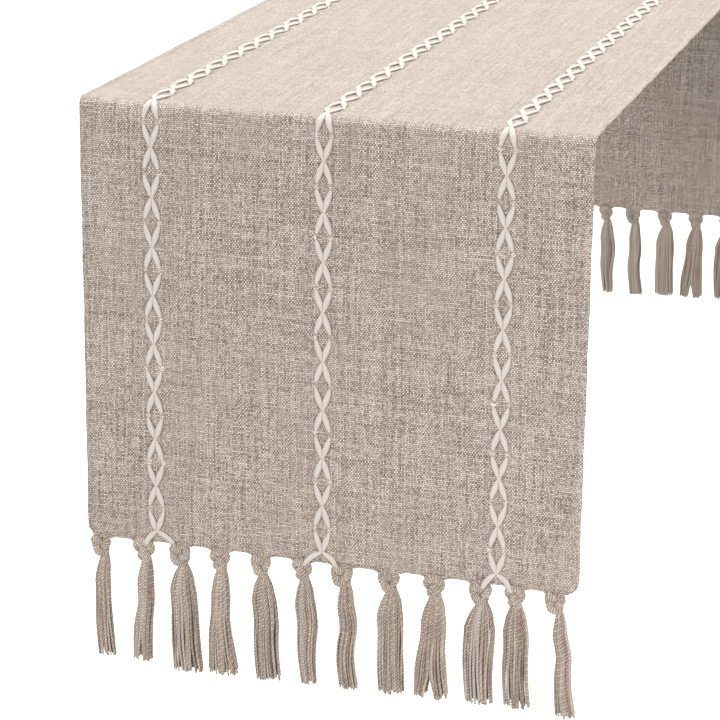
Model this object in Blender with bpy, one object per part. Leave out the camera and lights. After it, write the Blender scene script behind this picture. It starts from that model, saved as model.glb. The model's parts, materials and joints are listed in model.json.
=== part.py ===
"""Linen-look table runner, hanging as it does over the two ends of a table.

Metres, +Z up. The origin is the middle of the top stretch, on its underside; the front drop hangs at -Y,
the back drop at +Y. Every piece is its own closed object with a 0.3 mm gap to its neighbours.
"""

import math

import bpy
from mathutils import Vector

# ---- driving dimensions, in metres ----
WIDTH = 0.356  # 14 in across, hems included
CLOTH_T = 0.0012  # thick slub weave
HEM_W = 0.0046  # side hem, folded twice
HEM_T = 0.0020
GAP = 0.0003  # between two pieces
FACE_Y = 0.513  # outer face of a drop, from the middle
FOLD_R = 0.0072  # outer radius where the cloth turns down
PITCH = 0.03485  # one crossing of the cords to the next
HINGE_PITCHES = 15.0  # the drop begins where the cords dive, just under the fold
LAST_PITCHES = 23.5  # last crossing, above the knots
TOP_END_PITCHES = 14.5  # crossing beside the fold
COLUMNS = (("left", -0.1265), ("middle", -0.0040), ("right", 0.1205))

KNOT_EDGE_Z = -0.3175  # cloth edge where a tassel leaves it
ARCH_Z = -0.3160  # cloth edge half-way between two tassels
CORNER_Z = -0.3000  # the side hems end here and the corner is drawn in
PIVOT_Z = -0.3179  # a tassel swings here

YARN_CROSS = 0.0009  # half-width of a cord at a crossing
YARN_PETAL = 0.0021  # half-width between a crossing and a dive
YARN_DIVE = 0.0008
OFF_CROSS = 0.00105  # cord centre from the column's line
OFF_DIVE = 0.0046

# tassels of one end from left to right, in mm: across, knot half-width, neck, middle and foot half-widths
# of the skirt, sideways lean of the middle and of the foot, length below the pivot
TASSELS = (
    (-169.7, 7.2, 3.6, 6.2, 7.0, 1.0, 2.8, 90.6),
    (-136.8, 8.4, 4.2, 6.6, 8.2, 1.0, -3.0, 90.4),
    (-109.8, 8.0, 4.0, 10.2, 11.6, 3.6, 5.6, 94.1),
    (-79.7, 7.6, 4.2, 7.3, 11.8, 0.4, 1.5, 92.2),
    (-49.4, 7.3, 3.8, 9.5, 9.5, 4.0, 5.5, 92.6),
    (-18.7, 7.8, 4.2, 8.0, 5.9, 3.5, 5.0, 91.5),
    (10.1, 8.2, 4.6, 6.7, 7.4, 5.0, 5.0, 90.9),
    (44.0, 8.0, 4.8, 9.7, 9.8, 2.0, 2.9, 89.1),
    (76.7, 8.0, 4.8, 9.2, 13.4, -0.4, -1.2, 88.2),
    (109.4, 8.2, 4.5, 11.2, 10.4, -0.4, 0.8, 87.6),
    (133.9, 7.7, 5.0, 9.3, 10.0, 1.6, 3.3, 87.3),
    (161.7, 7.4, 3.2, 5.6, 7.4, 7.5, 9.5, 89.9),
)

for old in list(bpy.data.objects):
    bpy.data.objects.remove(old)


def material(name, colour, rough):
    made = bpy.data.materials.new(name)
    made.use_nodes = True
    shader = made.node_tree.nodes["Principled BSDF"]
    shader.inputs["Base Color"].default_value = (*colour, 1.0)
    shader.inputs["Roughness"].default_value = rough
    made.diffuse_color = (*colour, 1.0)
    return made


LINEN = (0.58, 0.50, 0.43)
IVORY = (0.86, 0.82, 0.76)
FRINGE = (0.55, 0.44, 0.35)
ROUGH = 0.9


def hinge_empty(name, at):
    made = bpy.data.objects.new(name, None)
    made.location = at
    made.empty_display_size = 0.02
    bpy.context.scene.collection.objects.link(made)
    return made


def turn_outwards(mesh):
    """Every body here is a closed loft, so its signed volume tells which way its faces look."""
    mesh.update()
    if sum(face.center.dot(face.normal) * face.area for face in mesh.polygons) < 0:
        mesh.flip_normals()


def node(name, points, faces, colour, hinge=None, pivot=(0.0, 0.0, 0.0)):
    """One closed object from points in the shared frame. Its origin goes to pivot, under its drop's hinge."""
    mesh = bpy.data.meshes.new(name)
    mesh.from_pydata([[p[i] - pivot[i] for i in range(3)] for p in points], [], faces)
    turn_outwards(mesh)
    mesh.materials.append(material(name, colour, ROUGH))
    made = bpy.data.objects.new(name, mesh)
    bpy.context.scene.collection.objects.link(made)
    made.parent = hinge
    made.location = Vector(pivot) - (hinge.location if hinge else Vector())
    return made


def loft(rings):
    """Points and faces of a closed body through rings of equal length, with flat fan ends."""
    n = len(rings[0])
    points = [p for ring in rings for p in ring]
    faces = []
    for r in range(len(rings) - 1):
        a, b = r * n, (r + 1) * n
        faces += [(a + i, a + (i + 1) % n, b + (i + 1) % n, b + i) for i in range(n)]
    faces.append(tuple(reversed(range(n))))
    last = (len(rings) - 1) * n
    faces.append(tuple(range(last, last + n)))
    return points, faces


def path(s, end):
    """(y, z), normal at distance s from the middle along the outer face; end is -1 for the front."""
    flat = FACE_Y - FOLD_R
    arc = FOLD_R * math.pi / 2
    if s <= flat:
        return (end * s, CLOTH_T), (0.0, 1.0)
    if s <= flat + arc:
        a = (s - flat) / FOLD_R
        at = (end * (flat + FOLD_R * math.sin(a)), CLOTH_T - FOLD_R * (1 - math.cos(a)))
        return at, (end * math.sin(a), math.cos(a))
    return (end * FACE_Y, CLOTH_T - FOLD_R - (s - flat - arc)), (end, 0.0)


def offset(at, normal, by):
    return at[0] + normal[0] * by, at[1] + normal[1] * by


HINGE_S = HINGE_PITCHES * PITCH
HINGE_Z = path(HINGE_S, -1)[0][1]
ARC_STEPS = 8
ENDS = {"front": -1, "back": 1}
HINGES = {end: hinge_empty(f"{name}_hinge", (0.0, end * FACE_Y, HINGE_Z)) for name, end in ENDS.items()}


def top_stations():
    """Path stations from the front hinge, over the top, to the back hinge."""
    flat = FACE_Y - FOLD_R
    arc = FOLD_R * math.pi / 2
    half = [HINGE_S] + [flat + arc * k / ARC_STEPS for k in range(ARC_STEPS, -1, -1)]
    front = [path(s, -1) for s in half]
    back = [path(s, 1) for s in reversed(half)]
    return front + back


def strip_over_top(name, x0, x1, rise, colour):
    rings = []
    for at, normal in top_stations():
        (yo, zo), (yi, zi) = offset(at, normal, rise), offset(at, normal, -CLOTH_T)
        rings.append([(x0, yo, zo), (x1, yo, zo), (x1, yi, zi), (x0, yi, zi)])
    return node(name, *loft(rings), colour)


def hem_drop(name, x0, x1, end):
    """A side hem of a drop. It stands proud of the hinge line, so it starts lower to clear the upper hem."""
    rise = HEM_T - CLOTH_T
    ya, yb = end * (FACE_Y - CLOTH_T), end * (FACE_Y + rise)
    upper = HINGE_Z - rise - GAP / 2
    rings = [[(x0, ya, z), (x1, ya, z), (x1, yb, z), (x0, yb, z)] for z in (CORNER_Z, upper)]
    return node(name, *loft(rings), LINEN, HINGES[end], HINGES[end].location)


INNER_X = WIDTH / 2 - HEM_W - GAP


def edge_line():
    """(x, z) along the drawn-in lower edge, from left to right."""
    knots = [t[0] / 1000 for t in TASSELS]
    line = [(-INNER_X, -0.3030), (-INNER_X + 0.0008, -0.3105), (-INNER_X + 0.0019, -0.3150)]
    line.append((knots[0], KNOT_EDGE_Z))
    for a, b in zip(knots, knots[1:]):
        for k in range(1, 8):
            t = k / 8
            up = math.sin(math.pi * t) ** 0.8
            line.append((a + (b - a) * t, KNOT_EDGE_Z + (ARCH_Z - KNOT_EDGE_Z) * up))
        line.append((b, KNOT_EDGE_Z))
    line += [(knots[-1] + 0.0035, -0.3150), (knots[-1] + 0.0070, -0.3120)]
    line += [(knots[-1] + 0.0100, -0.3065), (INNER_X, CORNER_Z)]
    return line


def drop_panel(name, end):
    y_out, y_in = end * FACE_Y, end * (FACE_Y - CLOTH_T)
    top = HINGE_Z - GAP / 2
    rings = [[(x, y_out, top), (x, y_out, z), (x, y_in, z), (x, y_in, top)] for x, z in edge_line()]
    return node(name, *loft(rings), LINEN, HINGES[end], HINGES[end].location)


def yarn_profile(s):
    """Half-width, height and centre offset of one cord at path distance s."""
    phase = s / PITCH - TOP_END_PITCHES
    away = abs(phase - round(phase)) * 2  # 0 at a crossing, 1 at a dive
    off = OFF_CROSS + (OFF_DIVE - OFF_CROSS) * away
    bulge = math.sin(math.pi * away)
    thin = YARN_CROSS + (YARN_DIVE - YARN_CROSS) * away
    half = thin + (YARN_PETAL - thin) * bulge
    high = 0.0010 - 0.0004 * away + 0.0009 * bulge
    return half, high, off


def yarn_ring(at, normal, x, half, high):
    ring = []
    for dx, up in ((-half, GAP), (half, GAP), (0.0, GAP + high)):
        y, z = offset(at, normal, up)
        ring.append((x + dx, y, z))
    return ring


def yarn_stations(s0, s1):
    quarter = PITCH / 4
    inner = [k * quarter for k in range(math.ceil(s0 / quarter), math.floor(s1 / quarter) + 1)]
    flat = FACE_Y - FOLD_R
    arc = FOLD_R * math.pi / 2
    turns = [flat + arc * k / ARC_STEPS for k in range(ARC_STEPS + 1)]
    found = sorted({round(s, 7) for s in inner + [t for t in turns if s0 < t < s1] + [s0, s1]})
    kept = [found[0]]
    for s in found[1:]:
        if s - kept[-1] > 0.0004:
            kept.append(s)
    kept[-1] = s1
    return kept


END_GAP = 0.0012


def yarn_top(name, x, side):
    half_run = yarn_stations(0.0, HINGE_S - END_GAP)
    rings = []
    for end, run in ((-1, list(reversed(half_run))), (1, half_run[1:])):
        for s in run:
            half, high, off = yarn_profile(s)
            at, normal = path(s, end)
            rings.append(yarn_ring(at, normal, x + side * off, half, high))
    return node(name, *loft(rings), IVORY)


def yarn_drop(name, x, side, end):
    """Cord of one drop, ending in the branch that runs to the nearest tassel on its side."""
    rings = []
    last = LAST_PITCHES * PITCH
    for s in yarn_stations(HINGE_S + END_GAP, last):
        half, high, off = yarn_profile(s)
        at, normal = path(s, end)
        rings.append(yarn_ring(at, normal, x + side * off, half, high))
    reach = min(side * (t[0] / 1000 - x) for t in TASSELS if side * (t[0] / 1000 - x) > 0)
    for share, drop, half, high in ((0.45, 0.0030, 0.0017, 0.0014), (0.86, 0.0062, 0.0010, 0.0010)):
        at, normal = path(last + drop, end)
        rings.append(yarn_ring(at, normal, x + side * reach * share, half, high))
    return node(name, *loft(rings), IVORY, HINGES[end], HINGES[end].location)


SIDES = 10
SKIRT_START = 0.0126  # the loose yarn leaves the knot this far below the pivot
SKIRT_FULL = 0.25  # share of the skirt's length where it has spread out
SKIRT_MIDDLE = 0.45


def tassel(name, end, spec):
    """Overhand knot and its skirt of loose yarn, one closed turned body with its own bend."""
    x, knot, neck, middle, foot, lean_mid, lean_foot, length = (v / 1000 for v in spec)
    pivot = (x, end * (FACE_Y - CLOTH_T / 2), PIVOT_Z)
    rings = [
        (0.0, 0.00025, 0.00025, 0.0),
        (0.0007, 0.00035, 0.00035, 0.0),
        (0.0013, 0.6 * knot, 0.0034, 0.0),
        (0.0035, 0.94 * knot, 0.0058, 0.0),
        (0.0064, knot, 0.0064, 0.0),
        (0.0096, 0.88 * knot, 0.0056, 0.0),
        (SKIRT_START, neck, 0.0034, 0.0),
    ]
    for t in (0.10, SKIRT_FULL, SKIRT_MIDDLE, 0.72, 1.0):
        spread = math.sin(math.pi / 2 * min(t / SKIRT_FULL, 1.0))
        half = neck + (middle - neck) * spread
        lean = lean_mid * t / SKIRT_MIDDLE
        if t > SKIRT_MIDDLE:
            past = (t - SKIRT_MIDDLE) / (1 - SKIRT_MIDDLE)
            half = middle + (foot - middle) * past
            lean = lean_mid + (lean_foot - lean_mid) * past
        rings.append((SKIRT_START + (length - SKIRT_START) * t, half, 0.0018 + 0.36 * half, lean))
    made = []
    for down, half, deep, lean in rings:
        ring = []
        for i in range(SIDES):
            a = 2 * math.pi * i / SIDES
            ring.append((x + lean + half * math.cos(a), pivot[1] + deep * math.sin(a), PIVOT_Z - down))
        made.append(ring)
    hung = node(name, *loft(made), FRINGE, HINGES[end], pivot)
    hung.data.shade_smooth()
    return hung


strip_over_top("top_panel", -INNER_X, INNER_X, 0.0, LINEN)
for side_name, side in (("left", -1), ("right", 1)):
    xa, xb = sorted((side * WIDTH / 2, side * (WIDTH / 2 - HEM_W)))
    strip_over_top(f"hem_{side_name}_top", xa, xb, HEM_T - CLOTH_T, LINEN)
    for end_name, end in ENDS.items():
        hem_drop(f"hem_{side_name}_{end_name}", xa, xb, end)
for end_name, end in ENDS.items():
    drop_panel(f"{end_name}_panel", end)
for column, x in COLUMNS:
    for letter, side in (("a", -1), ("b", 1)):
        yarn_top(f"cord_{column}_{letter}_top", x, side)
        for end_name, end in ENDS.items():
            yarn_drop(f"cord_{column}_{letter}_{end_name}", x, side, end)
for end_name, end in ENDS.items():
    for number, spec in enumerate(TASSELS, 1):
        tassel(f"tassel_{end_name}_{number:02d}", end, spec)
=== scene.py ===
"""Looks of the draped table runner: slub linen, ivory lens stitches, narrow hems and knotted yarn tassels.

Everything is in metres, in the CAD's frame: the runner lies on z = 0, its front drop hangs at -Y.
"""

import json
import math

import bpy
import numpy as np
from mathutils import Matrix, Vector

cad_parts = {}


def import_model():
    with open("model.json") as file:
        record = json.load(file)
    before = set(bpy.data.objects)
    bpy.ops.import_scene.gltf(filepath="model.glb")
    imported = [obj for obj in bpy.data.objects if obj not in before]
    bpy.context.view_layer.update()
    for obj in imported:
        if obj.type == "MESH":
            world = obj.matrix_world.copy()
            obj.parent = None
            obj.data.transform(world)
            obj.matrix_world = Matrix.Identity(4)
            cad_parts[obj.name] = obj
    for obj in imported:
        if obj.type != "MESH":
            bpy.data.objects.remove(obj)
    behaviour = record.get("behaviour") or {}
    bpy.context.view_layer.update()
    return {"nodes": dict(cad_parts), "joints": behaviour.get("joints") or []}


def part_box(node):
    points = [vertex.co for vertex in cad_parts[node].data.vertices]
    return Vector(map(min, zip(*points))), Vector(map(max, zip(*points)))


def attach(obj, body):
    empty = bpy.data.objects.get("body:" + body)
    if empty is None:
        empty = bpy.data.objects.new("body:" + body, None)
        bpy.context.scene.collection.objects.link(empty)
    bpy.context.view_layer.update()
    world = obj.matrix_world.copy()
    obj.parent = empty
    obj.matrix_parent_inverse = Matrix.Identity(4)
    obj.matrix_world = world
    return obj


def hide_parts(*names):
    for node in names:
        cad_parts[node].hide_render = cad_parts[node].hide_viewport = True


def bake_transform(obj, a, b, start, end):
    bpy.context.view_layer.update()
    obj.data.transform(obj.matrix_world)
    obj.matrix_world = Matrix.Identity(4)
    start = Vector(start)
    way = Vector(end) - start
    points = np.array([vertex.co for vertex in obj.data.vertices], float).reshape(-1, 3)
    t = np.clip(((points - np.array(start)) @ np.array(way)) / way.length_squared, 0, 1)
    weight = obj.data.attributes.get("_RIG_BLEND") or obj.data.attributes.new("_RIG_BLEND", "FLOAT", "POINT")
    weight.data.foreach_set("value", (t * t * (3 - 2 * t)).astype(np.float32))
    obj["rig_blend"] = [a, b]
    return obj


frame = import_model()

SEED = 20240611
ENDS = {"front": -1.0, "back": 1.0}
COLUMN_NAMES = ("left", "middle", "right")

# ---- sizes read from the frame ----
PANEL_LO, PANEL_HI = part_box("front_panel")
FACE_Y = -PANEL_LO.y
CLOTH_T = PANEL_HI.y - PANEL_LO.y
TOP_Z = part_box("top_panel")[1].z
EDGE_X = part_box("hem_right_front")[1].x
HEM_W = EDGE_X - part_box("hem_right_front")[0].x
HEM_END_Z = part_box("hem_right_front")[0].z
JOINTS = {j["name"]: j for j in frame["joints"]}
HINGE_Z = JOINTS["front_drop_fold"]["pos_m"][2]
KNOT_X = [JOINTS[f"tassel_front_{n:02d}_swing"]["pos_m"][0] for n in range(1, 13)]
PIVOT_Z = JOINTS["tassel_front_01_swing"]["pos_m"][2]
COLUMN_X = [
    (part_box(f"cord_{c}_a_top")[0].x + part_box(f"cord_{c}_b_top")[1].x) / 2 for c in COLUMN_NAMES
]

# ---- sizes of the design, in metres ----
FOLD_R = 0.0072
PITCH = 0.03485
FOLD_PITCHES = 14.5
LAST_PITCHES = 23.5
FLAT = FACE_Y - FOLD_R
ARC = FOLD_R * math.pi / 2


# ---------------------------------------------------------------- small tools
def path(s, end):
    """(y, z) and outward normal (ny, nz) at distance s from the middle along the outer face, as arrays."""
    s = np.asarray(s, float)
    a = np.clip((s - FLAT) / FOLD_R, 0.0, math.pi / 2)
    y = np.minimum(s, FLAT) + FOLD_R * np.sin(a)
    z = TOP_Z - FOLD_R * (1 - np.cos(a)) - np.maximum(s - FLAT - ARC, 0.0)
    return end * y, z, end * np.sin(a), np.cos(a)


def smooth(x, lo, hi):
    t = np.clip((np.asarray(x, float) - lo) / (hi - lo), 0.0, 1.0)
    return t * t * (3 - 2 * t)


def ripple(x, s, waves):
    """Sum of slow sines over the cloth: waves holds (across per m, along per m, phase, height)."""
    total = 0.0
    for kx, ks, phase, height in waves:
        total = total + height * np.sin(2 * math.pi * (kx * x + ks * s) + phase)
    return total


class Mesh:
    """Collects tubes and grids with their point attributes, then becomes one object."""

    def __init__(self):
        self.points, self.quads, self.caps, self.count = [], [], [], 0
        self.attributes = {}

    def add(self, points, quads, caps=(), **attributes):
        self.points.append(points)
        self.quads.append(np.asarray(quads) + self.count)
        self.caps += [[i + self.count for i in cap] for cap in caps]
        for name, values in attributes.items():
            shape = (len(points),) + np.shape(values)[1:]
            self.attributes.setdefault(name, []).append(np.broadcast_to(values, shape))
        self.count += len(points)

    def build(self, name, material, flat_angle=None):
        points = np.concatenate(self.points)
        quads = np.concatenate(self.quads)
        mesh = bpy.data.meshes.new(name)
        loops = np.concatenate([quads.ravel()] + [np.array(c) for c in self.caps]).astype(np.int32)
        sizes = np.concatenate([np.full(len(quads), 4), [len(c) for c in self.caps]]).astype(np.int32)
        starts = np.concatenate([[0], np.cumsum(sizes)[:-1]]).astype(np.int32)
        mesh.vertices.add(len(points))
        mesh.vertices.foreach_set("co", points.astype(np.float32).ravel())
        mesh.loops.add(len(loops))
        mesh.loops.foreach_set("vertex_index", loops)
        mesh.polygons.add(len(sizes))
        mesh.polygons.foreach_set("loop_start", starts)
        mesh.polygons.foreach_set("loop_total", sizes)
        mesh.polygons.foreach_set("use_smooth", np.ones(len(sizes), bool))
        mesh.update(calc_edges=True)
        mesh.validate()
        for key, parts in self.attributes.items():
            values = np.concatenate(parts)
            if values.ndim == 1:
                data = mesh.attributes.new(key, "FLOAT", "POINT").data
                data.foreach_set("value", values.astype(np.float32))
            else:
                mesh.attributes.new(key, "FLOAT_VECTOR", "POINT").data.foreach_set(
                    "vector", values.astype(np.float32).ravel()
                )
        mesh.materials.append(material)
        if flat_angle:
            mesh.set_sharp_from_angle(angle=math.radians(flat_angle))
        made = bpy.data.objects.new(name, mesh)
        bpy.context.scene.collection.objects.link(made)
        return made


def ring_quads(n, sides):
    """Quads of a tube of n rings, looking outwards for rings that turn right-handed about the way it runs."""
    k = np.arange(sides)
    a = (np.arange(n - 1)[:, None] * sides + k).ravel()
    b = (np.arange(n - 1)[:, None] * sides + (k + 1) % sides).ravel()
    return np.stack([a, b, b + sides, a + sides], axis=1)


def transport(points, first):
    """Tangents and two side directions along a path, turned as little as possible."""
    t = np.gradient(points, axis=0)
    t /= np.linalg.norm(t, axis=1)[:, None]
    n = np.zeros_like(t)
    v = np.array(first, float)
    for i in range(len(t)):
        v = v - t[i] * (v @ t[i])
        v /= np.linalg.norm(v)
        n[i] = v
    return t, n, np.cross(t, n)


def resample(points, step):
    """The same path with even steps of about this length."""
    d = np.concatenate([[0], np.cumsum(np.linalg.norm(np.diff(points, axis=0), axis=1))])
    n = max(int(round(d[-1] / step)) + 1, 4)
    at = np.linspace(0, d[-1], n)
    return np.stack([np.interp(at, d, points[:, i]) for i in range(3)], axis=1), at


# ---------------------------------------------------------------- twisted yarn
YARN_SIDES = 6
YARN_STEP = 0.00055
YARN_PITCH = 0.0048


def yarn(
    into, points, radius, tone, phase,
    first=(0.0, 1.0, 0.0), pale=0.0, step=YARN_STEP, taper=0.0, squeeze=0.0,
):
    """A two-ply yarn along points: a flat section that turns as it runs, with rounded ends.

    taper is how much thinner it gets at its end, squeeze how much a knot presses it at its start."""
    pts, at = resample(points, step)
    t, n, b = transport(pts, first)
    turn = 2 * math.pi * at / YARN_PITCH + phase
    k = np.arange(YARN_SIDES) * 2 * math.pi / YARN_SIDES
    ends = np.minimum(at, at[-1] - at)
    size = radius * np.sqrt(np.clip(ends / (0.9 * radius), 0.06, 1.0)) * (1 - taper * at / at[-1])
    size = size * (1 - squeeze * (1 - smooth(at, 0.0, 0.022)))
    wide = np.cos(k)[None] * size[:, None]
    thin = np.sin(k)[None] * size[:, None] * 0.62
    c, s = np.cos(turn)[:, None], np.sin(turn)[:, None]
    along_n, along_b = wide * c - thin * s, wide * s + thin * c
    ring = pts[:, None] + along_n[..., None] * n[:, None] + along_b[..., None] * b[:, None]
    last = (len(pts) - 1) * YARN_SIDES
    caps = [list(range(YARN_SIDES))[::-1], list(range(last, last + YARN_SIDES))]
    count = len(pts) * YARN_SIDES
    into.add(
        ring.reshape(-1, 3),
        ring_quads(len(pts), YARN_SIDES),
        caps,
        tone=np.full(count, tone),
        ply=np.tile(np.cos(k), len(pts)),
        pale=np.full(count, pale),
        along=np.repeat(at, YARN_SIDES),
    )


# ---------------------------------------------------------------- materials
def nodes_of(name, rough=0.85, sheen=0.25, sheen_rough=0.5, sheen_tint=(1.0, 0.93, 0.86)):
    made = bpy.data.materials.new(name)
    made.use_nodes = True
    tree = made.node_tree
    shader = tree.nodes["Principled BSDF"]
    shader.inputs["Roughness"].default_value = rough
    shader.inputs["Specular IOR Level"].default_value = 0.2
    shader.inputs["Sheen Weight"].default_value = sheen
    shader.inputs["Sheen Roughness"].default_value = sheen_rough
    shader.inputs["Sheen Tint"].default_value = (*sheen_tint, 1.0)
    return made, tree, shader


class Graph:
    """Short hands for building a node tree."""

    def __init__(self, tree):
        self.tree = tree

    def node(self, kind, **settings):
        made = self.tree.nodes.new(kind)
        for key, value in settings.items():
            setattr(made, key, value)
        return made

    def put(self, socket, value):
        if isinstance(value, bpy.types.NodeSocket):
            self.tree.links.new(value, socket)
        else:
            socket.default_value = value

    def attribute(self, name, vector=False):
        made = self.node("ShaderNodeAttribute", attribute_name=name)
        return made.outputs["Vector" if vector else "Fac"]

    def math(self, operation, a, b=0.0, c=0.0):
        made = self.node("ShaderNodeMath", operation=operation)
        for socket, value in zip(made.inputs, (a, b, c)):
            self.put(socket, value)
        return made.outputs[0]

    def vector(self, x, y, z=0.0):
        made = self.node("ShaderNodeCombineXYZ")
        for socket, value in zip(made.inputs, (x, y, z)):
            self.put(socket, value)
        return made.outputs[0]

    def split(self, value):
        made = self.node("ShaderNodeSeparateXYZ")
        self.put(made.inputs[0], value)
        return made.outputs[0], made.outputs[1], made.outputs[2]

    def noise(self, vector, scale=1.0, detail=2.0, rough=0.5):
        made = self.node("ShaderNodeTexNoise")
        self.put(made.inputs["Vector"], vector)
        made.inputs["Scale"].default_value = scale
        made.inputs["Detail"].default_value = detail
        made.inputs["Roughness"].default_value = rough
        return made.outputs["Fac"]

    def random(self, vector):
        made = self.node("ShaderNodeTexWhiteNoise", noise_dimensions="3D")
        self.put(made.inputs["Vector"], vector)
        return made.outputs["Value"]

    def remap(self, value, a, b, c, d):
        made = self.node("ShaderNodeMapRange")
        for socket, v in zip(made.inputs, (value, a, b, c, d)):
            self.put(socket, v)
        return made.outputs[0]

    def mix(self, share, a, b, blend="MIX"):
        made = self.node("ShaderNodeMix", data_type="RGBA", blend_type=blend)
        self.put(made.inputs[0], share)
        for socket, value in ((made.inputs[6], a), (made.inputs[7], b)):
            self.put(socket, (*value, 1.0) if isinstance(value, tuple) else value)
        return made.outputs[2]

    def bump(self, height, strength, distance):
        made = self.node("ShaderNodeBump")
        self.put(made.inputs["Height"], height)
        made.inputs["Strength"].default_value = strength
        made.inputs["Distance"].default_value = distance
        return made.outputs["Normal"]


WARP_PITCH = 0.00102
WEFT_PITCH = 0.00134


def linen_material():
    """Plain weave of uneven two-tone yarns: every thread has its own shade, slubs and a rounded bump; the
    gaps between the threads are darkened as painted shade.
    """
    made, tree, shader = nodes_of("slub_linen", rough=0.9, sheen=0.65, sheen_rough=0.5)
    g = Graph(tree)
    across, along, loose = g.split(g.attribute("weave", vector=True))
    # threads wander a little, which keeps the weave from looking printed
    sway_u = g.noise(g.vector(g.math("MULTIPLY", across, 70.0), g.math("MULTIPLY", along, 30.0)), 1.0, 1.0)
    sway_at = g.vector(g.math("MULTIPLY", across, 30.0), g.math("MULTIPLY", along, 70.0), 7.0)
    sway_v = g.noise(sway_at, 1.0, 1.0)
    x = g.math("DIVIDE", g.math("MULTIPLY_ADD", sway_u, 0.0016, across), WARP_PITCH)
    y = g.math("DIVIDE", g.math("MULTIPLY_ADD", sway_v, 0.0020, along), WEFT_PITCH)
    i, j = g.math("FLOOR", x), g.math("FLOOR", y)
    round_x = g.math("SINE", g.math("MULTIPLY", g.math("FRACT", x), math.pi))
    round_y = g.math("SINE", g.math("MULTIPLY", g.math("FRACT", y), math.pi))
    over = g.math("FLOORED_MODULO", g.math("ADD", i, j), 2.0)
    under = g.math("SUBTRACT", 1.0, over)
    warp_h = g.math("MULTIPLY", g.math("MULTIPLY", round_x, round_y), over)
    weft_h = g.math("MULTIPLY", g.math("MULTIPLY", round_y, g.math("MULTIPLY_ADD", round_x, 0.6, 0.2)), under)
    height = g.math("MAXIMUM", g.math("ADD", warp_h, weft_h), loose)
    # shade of each thread, then streaks along it, then single flecks
    warp_own = g.random(g.vector(i, 3.0, 1.0))
    weft_own = g.random(g.vector(5.0, j, 2.0))
    warp_slub = g.noise(g.vector(g.math("MULTIPLY", i, 1.7), g.math("MULTIPLY", along, 18.0)), 1.0, 3.0, 0.75)
    weft_at = g.vector(g.math("MULTIPLY", across, 22.0), g.math("MULTIPLY", j, 1.7), 4.0)
    weft_slub = g.noise(weft_at, 1.0, 3.0, 0.7)
    warp_tone = g.math("MULTIPLY_ADD", warp_own, 0.26, g.remap(warp_slub, 0.33, 0.67, 0.16, 0.84))
    weft_tone = g.math("MULTIPLY_ADD", weft_own, 0.16, g.remap(weft_slub, 0.33, 0.67, -0.02, 0.50))
    tone = g.math("ADD", g.math("MULTIPLY", warp_tone, over), g.math("MULTIPLY", weft_tone, under))
    fleck = g.random(g.vector(i, j, 9.0))
    tone = g.math("ADD", tone, g.math("MULTIPLY_ADD", fleck, 0.50, -0.25))
    colour = g.mix(tone, (0.185, 0.132, 0.104), (1.0, 0.875, 0.785))
    warm = g.noise(g.vector(g.math("MULTIPLY", across, 22.0), g.math("MULTIPLY", along, 9.0), 2.0), 1.0, 2.0)
    colour = g.mix(g.remap(warm, 0.45, 0.72, 0.0, 0.30), colour, (0.60, 0.47, 0.385))
    # painted shade: the colour is darkened in the low gaps between the threads' crowns, where shade falls
    gap = g.remap(height, 0.05, 0.75, 0.30, 1.0)
    colour = g.mix(1.0, colour, g.vector(gap, gap, gap), "MULTIPLY")
    g.put(shader.inputs["Base Color"], colour)
    swell = g.math("MULTIPLY_ADD", tone, 0.3, height)
    g.put(shader.inputs["Normal"], g.bump(swell, 0.9, 0.0004))
    return made


def ivory_material():
    """Thick soft cotton: long fine filaments, slightly darker between them, where the grooves between the
    yarn's ridges get painted shade.
    """
    made, tree, shader = nodes_of("ivory_cotton", rough=0.8, sheen=0.4)
    g = Graph(tree)
    across, along, _ = g.split(g.attribute("weave", vector=True))
    strand_at = g.vector(g.math("MULTIPLY", across, 2600.0), g.math("MULTIPLY", along, 130.0))
    strands = g.noise(strand_at, 1.0, 3.0, 0.6)
    # painted shade: crest is 1 on the yarn's ridges and 0 in the grooves between them, where the colour turns
    # darker
    crest = g.attribute("crest")
    shade = g.math("ADD", g.math("MULTIPLY", strands, 0.5), g.math("MULTIPLY", crest, 0.5))
    colour = g.mix(g.remap(shade, 0.2, 0.75, 0.0, 1.0), (0.45, 0.402, 0.370), (0.645, 0.588, 0.548))
    g.put(shader.inputs["Base Color"], colour)
    g.put(shader.inputs["Normal"], g.bump(strands, 0.4, 0.0003))
    return made


def fringe_material():
    """Two-ply taupe yarn, one ply lighter than the other, each yarn with its own shade, and painted shade in
    the groove between the plies.
    """
    made, tree, shader = nodes_of("fringe_yarn", rough=0.88, sheen=0.3)
    g = Graph(tree)
    tone, ply, along = g.attribute("tone"), g.attribute("ply"), g.attribute("along")
    fuzz_at = g.vector(g.math("MULTIPLY", along, 900.0), g.math("MULTIPLY", tone, 97.0), ply)
    fuzz = g.noise(fuzz_at, 1.0, 3.0, 0.65)
    slow = g.noise(g.vector(g.math("MULTIPLY", along, 60.0), g.math("MULTIPLY", tone, 53.0)), 1.0, 1.0)
    light = g.math("MULTIPLY_ADD", tone, 0.40, g.math("MULTIPLY_ADD", slow, 0.5, 0.0))
    light = g.math("MULTIPLY_ADD", ply, 0.12, light)
    light = g.math("MULTIPLY_ADD", fuzz, 0.5, g.math("SUBTRACT", light, 0.25))
    colour = g.mix(g.remap(light, 0.05, 0.80, 0.0, 1.0), (0.38, 0.262, 0.195), (1.0, 0.865, 0.745))
    colour = g.mix(g.attribute("pale"), colour, (0.80, 0.705, 0.64))
    # painted shade: the colour darkens in the groove between the two plies, where ply is near zero
    groove = g.remap(g.math("MULTIPLY", ply, ply), 0.1, 0.9, 0.36, 1.0)
    colour = g.mix(1.0, colour, g.vector(groove, groove, groove), "MULTIPLY")
    g.put(shader.inputs["Base Color"], colour)
    g.put(shader.inputs["Normal"], g.bump(fuzz, 0.5, 0.0003))
    return made


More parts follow.
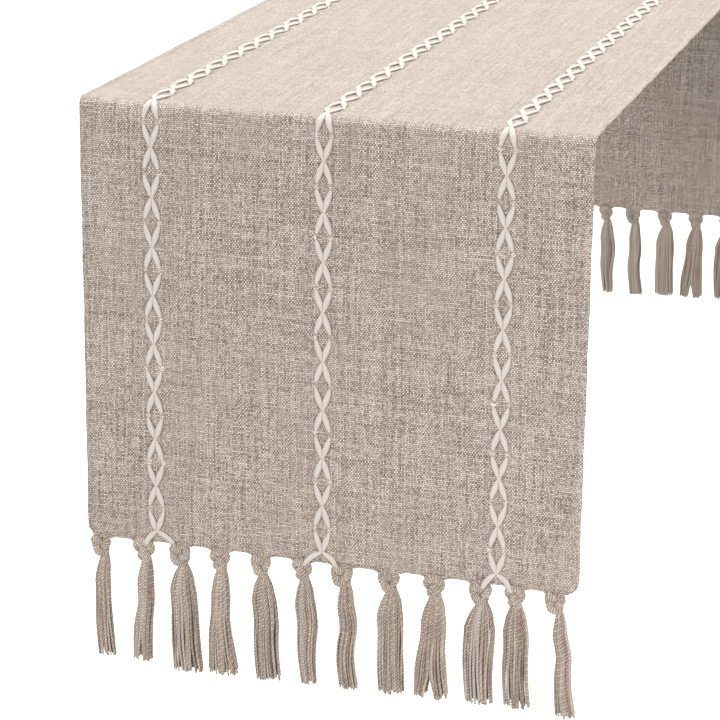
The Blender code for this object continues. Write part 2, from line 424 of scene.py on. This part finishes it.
LINEN = linen_material()
IVORY = ivory_material()
FRINGE = fringe_material()

# ---------------------------------------------------------------- cloth
DIP_Z = PANEL_LO.z  # the cloth's edge at a knot
ARCH_Z = DIP_Z + 0.0019  # and half-way between two knots
# slow waves in the cloth: across per m, along per m, phase, height
TOP_WAVES = (
    (1.3, 2.1, 0.4, 0.00016),
    (-2.2, 3.4, 1.9, 0.00013),
    (4.3, -1.6, 0.7, 0.00012),
    (9.0, 6.0, 2.0, 0.00005),
)
DROP_WAVES = (
    (5.6, 0.5, 0.9, 0.00075),
    (9.7, -0.7, 2.2, 0.00038),
    (15.5, 1.1, 4.4, 0.00022),
    (2.6, 2.2, 1.2, 0.0004),
)
RIGHT_CORNER = 0.007  # how far below the hem's CAD end the cloth reaches at each corner
LEFT_CORNER = 0.010

def lower_edge(x):
    """Height of the cloth's lower edge: drawn down to each knot, arching up between them."""
    knots = np.array(KNOT_X)
    x = np.asarray(x, float)
    i = np.clip(np.searchsorted(knots, x) - 1, 0, len(knots) - 2)
    t = np.clip((x - knots[i]) / (knots[i + 1] - knots[i]), 0.0, 1.0)
    z = DIP_Z + (ARCH_Z - DIP_Z) * np.sin(math.pi * t) ** 0.5
    right = np.clip((x - knots[-1]) / (EDGE_X - knots[-1]), 0, 1)
    left = np.clip((knots[0] - x) / (knots[0] + EDGE_X), 0, 1)
    round_up = 1 - np.sqrt(np.maximum(1 - right**2.2, 0))
    z = np.where(right > 0, DIP_Z + (HEM_END_Z - RIGHT_CORNER - DIP_Z) * round_up, z)
    return np.where(left > 0, DIP_Z + (HEM_END_Z - LEFT_CORNER - DIP_Z) * left**1.3, z)


def edge_sway(s):
    """The long edges aren't quite straight."""
    return 0.00018 * np.sin(2 * math.pi * s / 0.061) + 0.00012 * np.sin(2 * math.pi * s / 0.023 + 1.0)


def lift(x, s, end):
    """How far the cloth's face stands off its plain path, outwards."""
    depth = np.maximum(s - FLAT - ARC, 0.0)
    top = np.abs(ripple(x, s * end + 0.31, TOP_WAVES)) * (1 - smooth(s, FLAT - 0.05, FLAT))
    hang = smooth(depth, 0.01, 0.30) * ripple(x + 0.02 * end, depth, DROP_WAVES)
    off = np.zeros_like(x * s)
    for k in KNOT_X:
        above = np.maximum(0.309 - depth, 0.0)
        fan = (x - k) / (0.0022 + 0.30 * above)
        near = np.exp(-above / 0.011) * np.exp(-((fan / 2.6) ** 2))
        off = off + near * 0.0009 * np.cos(2 * math.pi * fan / 1.5)
    return top + hang + off


def hem_rise(x):
    """The folded side hem: a low raised band with a stitched groove at its inner edge."""
    d = EDGE_X - np.abs(x)
    band = 0.00055 * (1 - smooth(d, HEM_W - 0.0009, HEM_W + 0.0002))
    groove = -0.00022 * np.exp(-(((d - HEM_W * 0.78) / 0.0005) ** 2))
    return band + groove


def columns_x():
    """Places across the cloth, closer together on the hems."""
    edge = np.array([0.0, 0.0002, 0.0006, 0.0012, 0.0022, 0.0030, 0.0036, 0.0041, 0.0046, 0.0052, 0.0064])
    left = -EDGE_X + edge
    middle = np.linspace(-EDGE_X + 0.0085, EDGE_X - 0.0085, 184)
    return np.concatenate([left, middle, -left[::-1]])


def rows_s():
    """Distances down the cloth that every column shares, and where the last of them is."""
    fixed = FLAT + ARC + 0.270
    flat = np.linspace(0.0, FLAT - 0.006, 100)
    turn = np.linspace(FLAT - 0.006, FLAT + ARC + 0.004, 26)[1:]
    hang = np.linspace(FLAT + ARC + 0.004, fixed, 88)[1:]
    return np.concatenate([flat, turn, hang]), fixed


def cloth(name, end):
    """One half of the runner's cloth, from the middle of the top to the scalloped edge of its drop."""
    xs = columns_x()
    plain, fixed = rows_s()
    bottom = TOP_Z - FOLD_R - lower_edge(xs) + FLAT + ARC
    share = np.linspace(0, 1, 34)[1:]
    foot = fixed + (bottom - fixed)[None] * share[:, None]
    s = np.concatenate([np.repeat(plain[:, None], len(xs), 1), foot])
    x = np.repeat(xs[None], len(s), 0)
    xx = x + edge_sway(s) * np.sign(x) * smooth(np.abs(x), EDGE_X - 0.02, EDGE_X)
    y, z, ny, nz = path(s, end)
    out = lift(xx, s, end) + hem_rise(x)
    thick = CLOTH_T * 0.92 + hem_rise(x) * 0.3
    outer = np.stack([xx, y + ny * out, z + nz * out], axis=-1)
    inner = np.stack([xx, y + ny * (out - thick), z + nz * (out - thick)], axis=-1)
    rows, cols = s.shape
    points = np.concatenate([outer.reshape(-1, 3), inner.reshape(-1, 3)])
    index = np.arange(rows * cols).reshape(rows, cols)
    under = index + rows * cols

    def strip(a, b):
        return np.stack([a[:-1], b[:-1], b[1:], a[1:]], axis=-1).reshape(-1, 4)

    face = np.stack([index[:-1, :-1], index[:-1, 1:], index[1:, 1:], index[1:, :-1]], axis=-1).reshape(-1, 4)
    back = np.stack([under[:-1, :-1], under[1:, :-1], under[1:, 1:], under[:-1, 1:]], axis=-1).reshape(-1, 4)
    sides = [strip(index[:, 0], under[:, 0])[:, ::1], strip(under[:, -1], index[:, -1])]
    ends_ = [strip(under[0], index[0]), strip(index[-1], under[-1])]
    quads = np.concatenate([face, back] + sides + ends_)
    # faces look outwards on the front half; the back half is its mirror image
    if end < 0:
        quads = quads[:, ::-1]
    weave = np.stack([x, s * end, np.zeros_like(s)], axis=-1).reshape(-1, 3)
    mesh = Mesh()
    mesh.add(points, quads, weave=np.concatenate([weave, weave]))
    made = mesh.build(name, LINEN, flat_angle=50)
    return made


# ---------------------------------------------------------------- ivory stitches
IVORY_SIDES = 20
IVORY_STEP = 0.0006
PETAL_END = 0.0156  # from a crossing to where its yarn dives under the weave
PETAL_OUTER = 0.0054  # how far its outer side swings out
PETAL_INNER = 0.0044  # and its inner side, which starts later
TOUCH = 0.38  # share of a petal along which the pair lies side by side
PINCH = 0.00050  # half-width where the yarns are cinched together
OVERLAP = 0.00020  # the two press into each other by this much


def stitch_profile(s):
    """Of one yarn at distance s: centre from the column's line, half-width, half-height and height."""
    phase = s / PITCH - FOLD_PITCHES
    away = np.abs(phase - np.round(phase)) * PITCH
    t = np.clip(away / PETAL_END, 0.0, 1.0)
    outer = PINCH + PETAL_OUTER * np.sin(math.pi / 2 * np.minimum(t / 0.9, 1.0)) ** 0.85
    inner = PETAL_INNER * (np.maximum(t - TOUCH, 0) / (1 - TOUCH)) ** 1.15
    half = (outer - inner) / 2 + OVERLAP
    centre = (outer + inner) / 2
    high = 0.00045 + 0.00062 * np.sin(math.pi * t) ** 0.6
    rise = high * 0.8 - 0.0015 * smooth(away, PETAL_END - 0.0007, PETAL_END + 0.0006)
    return centre, half, high, rise


def stitch_tube(mesh, centre, side, up, half, high, along, phase):
    k = np.arange(IVORY_SIDES) * 2 * math.pi / IVORY_SIDES
    ridge = np.where(np.arange(IVORY_SIDES) % 2 == 0, 1.0, 0.86)
    turn = phase + along * 40.0
    c = np.cos(k[None] + 0 * turn[:, None]) * ridge * half[:, None]
    t = np.sin(k)[None] * ridge * high[:, None]
    ring = centre[:, None] + c[..., None] * side[:, None] + t[..., None] * up[:, None]
    n = len(centre)
    last = (n - 1) * IVORY_SIDES
    caps = [list(range(IVORY_SIDES))[::-1], list(range(last, last + IVORY_SIDES))]
    weave = np.stack([c + phase, np.repeat(along[:, None], IVORY_SIDES, 1), t], axis=-1)
    mesh.add(
        ring.reshape(-1, 3),
        ring_quads(n, IVORY_SIDES),
        caps,
        weave=weave.reshape(-1, 3),
        # 1 on the ridges and 0 in the grooves: the mask for the painted shade in the grooves
        crest=np.tile((ridge - 0.86) / 0.14, n),
    )


def stitches(name, column, end):
    """Both yarns of one column on one half, from the middle to the knots beside the last crossing."""
    mesh = Mesh()
    x0 = COLUMN_X[column]
    last = LAST_PITCHES * PITCH
    for which, side_x in ((0, -1.0), (1, 1.0)):
        s = np.arange(0.0, last, IVORY_STEP)
        centre, half, high, rise = stitch_profile(s)
        x = x0 + side_x * centre
        reach = min(side_x * (k - x0) for k in KNOT_X if side_x * (k - x0) > 0)
        # the branch from the last crossing into the knot on that side
        t = np.linspace(0, 1, 22)[1:]
        bend = 0.35 * t + 0.65 * np.sin(t * math.pi / 2)
        s = np.concatenate([s, last + 0.0108 * t**1.25])
        x = np.concatenate([x, x0 + side_x * (PINCH + (reach - PINCH - 0.0022) * bend)])
        half = np.concatenate([half, PINCH + 0.0015 * np.sin(math.pi * t**0.7) ** 0.6 + 0.0004 * t])
        high = np.concatenate([high, 0.0005 + 0.0007 * np.sin(math.pi * t) ** 0.7])
        rise = np.concatenate([rise, 0.0005 + 0.0030 * t**2])
        y, z, ny, nz = path(s, end)
        out = lift(x, s, end) + rise
        line = np.stack([x, y + ny * out, z + nz * out], axis=1)
        up = np.stack([0 * ny, ny, nz], axis=1)
        along_it = np.gradient(line, axis=0)
        along_it /= np.linalg.norm(along_it, axis=1)[:, None]
        up = up - along_it * (up * along_it).sum(1)[:, None]
        up /= np.linalg.norm(up, axis=1)[:, None]
        side = np.cross(up, along_it)
        along = np.concatenate([[0], np.cumsum(np.linalg.norm(np.diff(line, axis=0), axis=1))])
        stitch_tube(mesh, line, side, up, half, high, along, 0.37 * which + column)
    made = mesh.build(name, IVORY)
    return made


def binding(name, end):
    """The linen weft threads that hold the ivory yarns down: three at each dive, one at each crossing."""
    mesh = Mesh()
    sides = 6
    k = np.arange(sides) * 2 * math.pi / sides
    t = np.linspace(-1, 1, 9)
    arch = np.cos(t * math.pi / 2) ** 0.8
    for x0 in COLUMN_X:
        for n in range(int(2 * LAST_PITCHES) + 1):
            middle = n * PITCH / 2
            crossing = (n - int(2 * FOLD_PITCHES)) % 2 == 0
            if crossing:
                threads = [(x0, middle, 0.0021, 0.00105, 0.00026)]
            else:
                threads = [
                    (x0 + side_x * 0.0052, middle + step * 0.00105, 0.0019, 0.00095, 0.00050)
                    for side_x in (-1, 1)
                    for step in (-1, 0, 1)
                ]
            for x, s, reach, top, radius in threads:
                if s < 0:
                    continue
                px = x + t * reach
                ss = np.full(len(t), s)
                y, z, ny, nz = path(ss, end)
                out = lift(px, ss, end) + top * arch - 0.00035
                line = np.stack([px, y + ny * out, z + nz * out], axis=1)
                up = np.stack([0 * ny, ny, nz], axis=1)
                lengthwise = np.stack([0 * ny, nz * end, -ny * end], axis=1)
                size = radius * (0.55 + 0.45 * arch)
                flat_part = np.cos(k)[None, :, None] * lengthwise[:, None]
                high_part = 0.8 * np.sin(k)[None, :, None] * up[:, None]
                ring = line[:, None] + size[:, None, None] * (flat_part + high_part)
                if end > 0:
                    ring = ring[:, ::-1]
                count = len(t) * sides
                weave = np.stack([np.repeat(px, sides), np.full(count, s * end), np.ones(count)], axis=1)
                caps = [list(range(sides))[::-1], list(range(count - sides, count))]
                mesh.add(ring.reshape(-1, 3), ring_quads(len(t), sides), caps, weave=weave)
    made = mesh.build(name, LINEN)
    return made


# ---------------------------------------------------------------- tassels
def even(points, count):
    d = np.concatenate([[0], np.cumsum(np.linalg.norm(np.diff(points, axis=0), axis=1))])
    at = np.linspace(0, d[-1], count)
    return np.stack([np.interp(at, d, points[:, i]) for i in range(3)], axis=1), d[-1] / (count - 1)


def overhand(diameter, reach, count=120, rounds=1200):
    """Centre line of a tight overhand knot in a cord of this diameter, its ends at z = +-reach.

    A loose knot is pulled tight: the line shortens itself and pushes apart wherever it would overlap."""
    t = np.linspace(-2.12, 2.12, 120)
    loose = np.stack([t**4 - 4 * t**2 - 0.9, (t**5 - 10 * t) * 0.28, 3 * t - t**3], axis=1) * diameter * 0.95
    if loose[0, 2] < loose[-1, 2]:
        loose = loose[::-1]
    lead = np.linspace(1.0, 0.0, 16)[:-1, None]
    tip = np.array([0, 0, reach * 1.6])
    into = tip * lead + loose[0] * (1 - lead)
    out = (loose[-1] * (1 - lead) - tip * lead)[::-1]
    p = np.concatenate([into, loose, out])
    for turn in range(rounds):
        if turn % 5 == 0:
            p, spacing = even(p, count)
            i, j = np.triu_indices(count, max(int(math.ceil(1.45 * diameter / spacing)), 3))
        far = reach * (1.6 - 0.6 * min(1.0, turn / (rounds * 0.6)))
        p[1:-1] += 0.45 * (0.5 * (p[:-2] + p[2:]) - p[1:-1])
        for _ in range(4):
            gap = p[j] - p[i]
            apart = np.linalg.norm(gap, axis=1)
            hit = apart < diameter
            push = gap[hit] / apart[hit, None] * (diameter - apart[hit])[:, None] * 0.3
            np.add.at(p, j[hit], push)
            np.add.at(p, i[hit], -push)
            p[0], p[-1] = (0, 0, far), (0, 0, -far)
    return p


KNOT_D = 0.0050
KNOT_REACH = 0.0100
KNOT_LINE = overhand(KNOT_D, KNOT_REACH)
KNOT_DROP = 0.0052  # centre of the knot below the pivot
KNOT_SHAPE = np.array([0.92, 0.86, 0.72])
KNOT_TOP = 0.0068  # the tied bundle starts this far above the knot's centre, inside the gathered cloth


def profile(node, pivot_z):
    """Levels of a CAD tassel: depth below the pivot, middle across, half-width and half-depth."""
    mesh = frame["nodes"][node].data
    co = np.array([v.co for v in mesh.vertices], float)
    level = np.round((pivot_z - co[:, 2]) * 1e5)
    rows = []
    for key in np.unique(level):
        ring = co[level == key]
        lo, hi = ring.min(0), ring.max(0)
        rows.append((key / 1e5, (lo[0] + hi[0]) / 2, (hi[0] - lo[0]) / 2, (hi[1] - lo[1]) / 2))
    return np.array(rows)


# how each tassel of an end hangs, from left to right: turn of the knot in degrees and which way it is tied,
# where its yarns leave it, sideways wave of the skirt, how far its yarns part at the foot, number of parts,
# and how many of its yarns are ivory
STYLES = (
    (38, -1.0, 0.0028, 0.0006, 0.04, 2, 0),
    (150, 1.0, 0.0020, 0.0008, 0.45, 2, 1),
    (24, -1.0, 0.0028, 0.0005, 0.40, 3, 3),
    (160, 1.0, 0.0013, 0.0006, 0.30, 3, 0),
    (45, -1.0, 0.0020, 0.0006, 0.14, 4, 0),
    (140, 1.0, 0.0020, 0.0010, 0.12, 3, 2),
    (30, -1.0, 0.0030, 0.0020, 0.14, 3, 1),
    (52, -1.0, 0.0026, 0.0005, 0.12, 4, 0),
    (155, 1.0, 0.0014, 0.0006, 0.55, 2, 0),
    (35, -1.0, 0.0020, 0.0006, 0.12, 4, 4),
    (146, 1.0, 0.0012, 0.0006, 0.18, 3, 1),
    (28, -1.0, 0.0036, 0.0012, 0.12, 3, 0),
)
YARN_R = 0.00112
YARN_SHARE = 0.66  # neighbouring yarns of a skirt lie this share of their width apart
KNOT_YARNS = 10
KNOT_HALF = 0.0078  # half the width of the tied knot before it is scaled to its tassel


def knot(mesh, x, y, z, turn, scale, mirror, leave, rng, pale):
    """The tied part: a bundle of yarns that follows a tight overhand knot, its middle over the tassel's."""
    line = KNOT_LINE * np.array([mirror, 1.0, 1.0])
    c, s = math.cos(turn), math.sin(turn)
    line = line @ np.array([[c, s, 0], [-s, c, 0], [0, 0, 1]])
    body = line[np.abs(line[:, 2]) < 0.8 * KNOT_REACH]
    middle = (body.max(0) + body.min(0)) / 2
    line = (line - middle * np.array([1.0, 1.0, 0.0])) * KNOT_SHAPE * scale
    down = smooth(-line[:, 2], 0.0035, 0.0075)[:, None]
    line = line * (1 - down * np.array([1.0, 1.0, 0.0])) + down * np.array([leave, 0.0, 0.0])
    line = line[line[:, 2] < KNOT_TOP] + np.array([x, y, z - KNOT_DROP])
    pts, at = resample(line, 0.0008)
    t, n, b = transport(pts, (1.0, 0.3, 0.0))
    for k in range(KNOT_YARNS):
        a = 2 * math.pi * k / KNOT_YARNS + at / 0.030 * 2 * math.pi
        out = 0.0023 * scale
        route = pts + out * (np.cos(a)[:, None] * n + np.sin(a)[:, None] * b)
        shade, phase = rng.uniform(0.5, 1.1), rng.uniform(0, 6.3)
        yarn(mesh, route, 0.00098, shade, phase, pale=float(k < pale), step=0.0006)
    # painted shade: a dark core inside the bundle shows in the gaps between its yarns; its low tone and ply
    # value darken it as shade
    sides = 8
    k = np.arange(sides) * 2 * math.pi / sides
    shade_core = pts[:, None] + 0.0022 * scale * (
        np.cos(k)[None, :, None] * n[:, None] + np.sin(k)[None, :, None] * b[:, None]
    )
    last = (len(pts) - 1) * sides
    mesh.add(
        shade_core.reshape(-1, 3),
        ring_quads(len(pts), sides),
        [list(range(sides))[::-1], list(range(last, last + sides))],
        tone=np.full(len(pts) * sides, 0.3),
        ply=np.full(len(pts) * sides, 0.4),
        pale=np.zeros(len(pts) * sides),
        along=np.repeat(at, sides),
    )


def skirt(mesh, rows, y, z, style, rng):
    """The loose yarns below the knot, inside the outline that the CAD tassel gives."""
    neck_shift, wave, part, parts, ivory = style
    start = KNOT_DROP + 0.0040
    finish = rows[-1, 0]
    depth = np.linspace(start, finish, 48)
    t = (depth - start) / (finish - start)
    neck_end = 0.0126
    middle = np.interp(depth, rows[:, 0], rows[:, 1])
    middle = middle + neck_shift * (1 - smooth(depth, neck_end, 0.034))
    neck = np.interp(neck_end, rows[:, 0], rows[:, 2])
    half = np.interp(depth, rows[:, 0], rows[:, 2])
    half = np.where(depth < neck_end, neck * (0.8 + 0.2 * smooth(depth, start, neck_end)), half)
    deep = 0.0018 + 0.36 * half
    middle = middle + wave * np.sin(2 * math.pi * (1.1 * t + rng.uniform(-0.1, 0.1))) * smooth(t, 0.1, 0.5)
    places = np.linspace(-0.8, 0.8, parts) + rng.uniform(-0.12, 0.12, parts)
    widest, deepest = half.max() - YARN_R, deep.max() - YARN_R
    around = math.pi * (widest + deepest) * 1.02
    count = int(round(around / (2 * YARN_R * YARN_SHARE)))
    outer = [(q / count, 1.0) for q in range(count)]
    inner = [(q / (count // 2), 0.62) for q in range(count // 2)]
    pale_from = int(0.68 * count)
    for k, (q, depth_share) in enumerate(outer + inner):
        q = q + rng.uniform(-0.006, 0.006) + rng.normal(0, 0.009) * smooth(t, 0.1, 0.8)
        a = 2 * math.pi * q + 0.2 * np.sin(4 * math.pi * q)
        u, v = np.cos(a) * depth_share, np.sin(a) * depth_share
        home = places[np.argmin(np.abs(places - u[-1]))]
        pull = part * smooth(t, 0.72, 1.0)
        u = u * (1 - pull) + (home + 0.35 * (u - home)) * pull
        loose = smooth(t, 0.05, 0.5)
        wiggle = 0
        for f in (0.8, 1.7, 2.9):
            wiggle = wiggle + rng.normal(0, 0.00020 / f) * np.sin(2 * math.pi * (f * t + rng.uniform()))
        px = middle + (half - YARN_R * 0.9) * u + wiggle * loose
        drift = rng.normal(0, 0.0004) * np.sin(2 * math.pi * (1.3 * t + rng.uniform()))
        py = y + (deep - YARN_R * 0.5) * v + drift * loose
        short = 1 - abs(rng.normal(0, 0.022))
        pz = z - (start + (finish - start) * t * short)
        pts = np.stack([px, py, pz], axis=1)
        size = YARN_R * rng.uniform(0.88, 1.08)
        shade, phase = rng.uniform(0, 1), rng.uniform(0, 2 * math.pi)
        pale = float(pale_from <= k < pale_from + ivory)
        yarn(mesh, pts, size, shade, phase, pale=pale, taper=0.12, squeeze=0.35)


def tassel(end_name, end, number):
    rng = np.random.default_rng(SEED + number + (100 if end > 0 else 0))
    node = f"tassel_{end_name}_{number:02d}"
    x, y, z = JOINTS[f"{node}_swing"]["pos_m"]
    style = STYLES[number - 1]
    rows = profile(node, z)
    scale = rows[:, 2][rows[:, 0] < 0.0126].max() / KNOT_HALF
    turn, mirror, leave = math.radians(style[0]), style[1], style[2]
    tied, hanging = Mesh(), Mesh()
    knot(tied, x, y, z, turn, scale, mirror, leave, rng, min(style[6], 3))
    skirt(hanging, rows, y, z, style[2:], rng)
    for mesh, label in ((tied, "knot"), (hanging, "skirt")):
        piece = mesh.build(f"{node}_{label}", FRINGE)
        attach(piece, node)
        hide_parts(node)


# ---------------------------------------------------------------- gathered lower edge
GATHER = (-1.0, -0.86, -0.64, -0.40, -0.15, 0.12, 0.37, 0.62, 0.84, 1.0)
GATHER_R = 0.00085


def gather(name, end):
    """The cloth's own lengthwise yarns, drawn along the scalloped edge into each knot."""
    rng = np.random.default_rng(SEED + (7 if end > 0 else 5))
    mesh = Mesh()
    sides = [-EDGE_X] + list(KNOT_X) + [EDGE_X]
    for n, knot_x in enumerate(KNOT_X):
        for k, share in enumerate(GATHER):
            room = (sides[n + 1] - sides[n]) if share < 0 else (sides[n + 2] - sides[n + 1])
            at_rim = n in (0, len(KNOT_X) - 1) and room < 0.016
            reach = share * room * (0.80 if at_rim else 0.50)
            t = np.linspace(0.0, 1.0, 12)
            x = knot_x + reach * (1 - t) ** 1.15 + share * 0.0020 * t
            edge = lower_edge(x)
            z = edge + 0.0012 * (1 - t) + 0.0014 * (1 - abs(share)) * np.sin(math.pi * t)
            z = z * (1 - t**3) + (PIVOT_Z - 0.0040) * t**3
            face = -CLOTH_T * 0.5 + (0.0006 if k % 2 else -0.0005) + 0.0004 * np.sin(math.pi * t)
            depth = -z + TOP_Z - FOLD_R
            out = lift(x, FLAT + ARC + depth, end) + face
            line = np.stack([x, end * (FACE_Y + out), z], axis=1)
            yarn(mesh, line, GATHER_R, rng.uniform(0.3, 1.0), rng.uniform(0, 6.3))
    made = mesh.build(name, FRINGE)
    return made


# ---------------------------------------------------------------- put together
for end_name, end in ENDS.items():
    sheet = cloth(f"cloth_{end_name}", end)
    drop = f"{end_name}_drop"
    over = [f"{end_name}_panel", f"hem_left_{end_name}", f"hem_right_{end_name}"]
    if end < 0:
        over += ["top_panel", "hem_left_top", "hem_right_top"]
    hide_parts(*over)
    bend_from, bend_to = (0, end * FACE_Y, HINGE_Z + 0.004), (0, end * FACE_Y, HINGE_Z - 0.018)
    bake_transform(sheet, "top", drop, bend_from, bend_to)
    for column, column_name in enumerate(COLUMN_NAMES):
        piece = stitches(f"ivory_{column_name}_{end_name}", column, end)
        names = [f"cord_{column_name}_{a}_{end_name}" for a in "ab"]
        if end < 0:
            names += [f"cord_{column_name}_{a}_top" for a in "ab"]
        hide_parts(*names)
        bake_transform(piece, "top", drop, bend_from, bend_to)
    held = binding(f"binding_{end_name}", end)
    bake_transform(held, "top", drop, bend_from, bend_to)
    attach(gather(f"gathered_yarns_{end_name}", end), drop)
    for number in range(1, 13):
        tassel(end_name, end, number)


# ---------------------------------------------------------------- floor, light and camera
FLOOR_Z = -0.76
FLOOR_HALF = 12.0
CAMERA_AT = (0.5057, -2.1102, 0.3797)
CAMERA_RIGHT = (0.9562, 0.2927, 0.0093)
CAMERA_FORWARD = (-0.2755, 0.9099, -0.3101)


def stage_material(name, colour):
    """A plain pale surface that looks white to the camera and reflects a soft light onto the object."""
    made = bpy.data.materials.new(name)
    made.use_nodes = True
    g = Graph(made.node_tree)
    shader = made.node_tree.nodes["Principled BSDF"]
    shader.inputs["Base Color"].default_value = (*colour, 1.0)
    shader.inputs["Roughness"].default_value = 0.9
    shader.inputs["Emission Color"].default_value = (1.0, 1.0, 1.0, 1.0)
    g.put(shader.inputs["Emission Strength"], g.node("ShaderNodeLightPath").outputs["Is Camera Ray"])
    return made


def stage():
    size = FLOOR_HALF
    pale = stage_material("pale_floor", (0.45, 0.45, 0.45))
    floor = [(-size, -size, FLOOR_Z), (size, -size, FLOOR_Z), (size, size, FLOOR_Z), (-size, size, FLOOR_Z)]
    mesh = Mesh()
    mesh.add(np.array(floor), [[0, 1, 2, 3]])
    mesh.build("studio_floor", pale)


def light(name, at, target, size, power, colour=(1, 1, 1)):
    lamp = bpy.data.lights.new(name, "AREA")
    lamp.shape = "RECTANGLE"
    lamp.size, lamp.size_y = size
    lamp.energy = power
    lamp.color = colour
    made = bpy.data.objects.new(name, lamp)
    made.location = at
    made.rotation_euler = (Vector(target) - Vector(at)).to_track_quat("-Z", "Y").to_euler()
    bpy.context.scene.collection.objects.link(made)


def world():
    made = bpy.data.worlds.new("studio")
    made.use_nodes = True
    tree = made.node_tree
    g = Graph(tree)
    background = tree.nodes["Background"]
    seen = g.node("ShaderNodeLightPath").outputs["Is Camera Ray"]
    g.put(background.inputs["Color"], (1.0, 1.0, 1.0, 1.0))
    g.put(background.inputs["Strength"], g.remap(seen, 0.0, 1.0, 0.66, 1.05))
    bpy.context.scene.world = made


def camera():
    made = bpy.data.objects.new("camera", bpy.data.cameras.new("camera"))
    made.data.sensor_width = 36.0
    made.data.lens = 130.2
    made.data.clip_end = 60.0
    right = Vector(CAMERA_RIGHT)
    forward = Vector(CAMERA_FORWARD).normalized()
    right = (right - forward * right.dot(forward)).normalized()
    up = right.cross(forward)
    turn = Matrix((right, up, -forward)).transposed()
    made.matrix_world = Matrix.Translation(CAMERA_AT) @ turn.to_4x4()
    bpy.context.scene.collection.objects.link(made)
    bpy.context.scene.camera = made


stage()
world()
light("key", (-1.9, -3.8, 1.5), (0.0, -0.45, -0.15), (1.8, 1.8), 112.0, (1.0, 0.985, 0.97))
light("top", (0.2, 0.3, 2.4), (0.0, 0.0, 0.0), (1.8, 1.8), 92.0, (1.0, 0.99, 0.965))
light("fill", (1.7, -2.4, -0.4), (0.1, -0.5, -0.2), (1.4, 1.4), 12.0, (1.0, 0.99, 0.98))
light("low_fill", (0.80, -0.95, -0.50), (0.17, -0.51, -0.27), (0.35, 0.35), 2.8)
camera()
bpy.context.scene.view_settings.view_transform = "Standard"
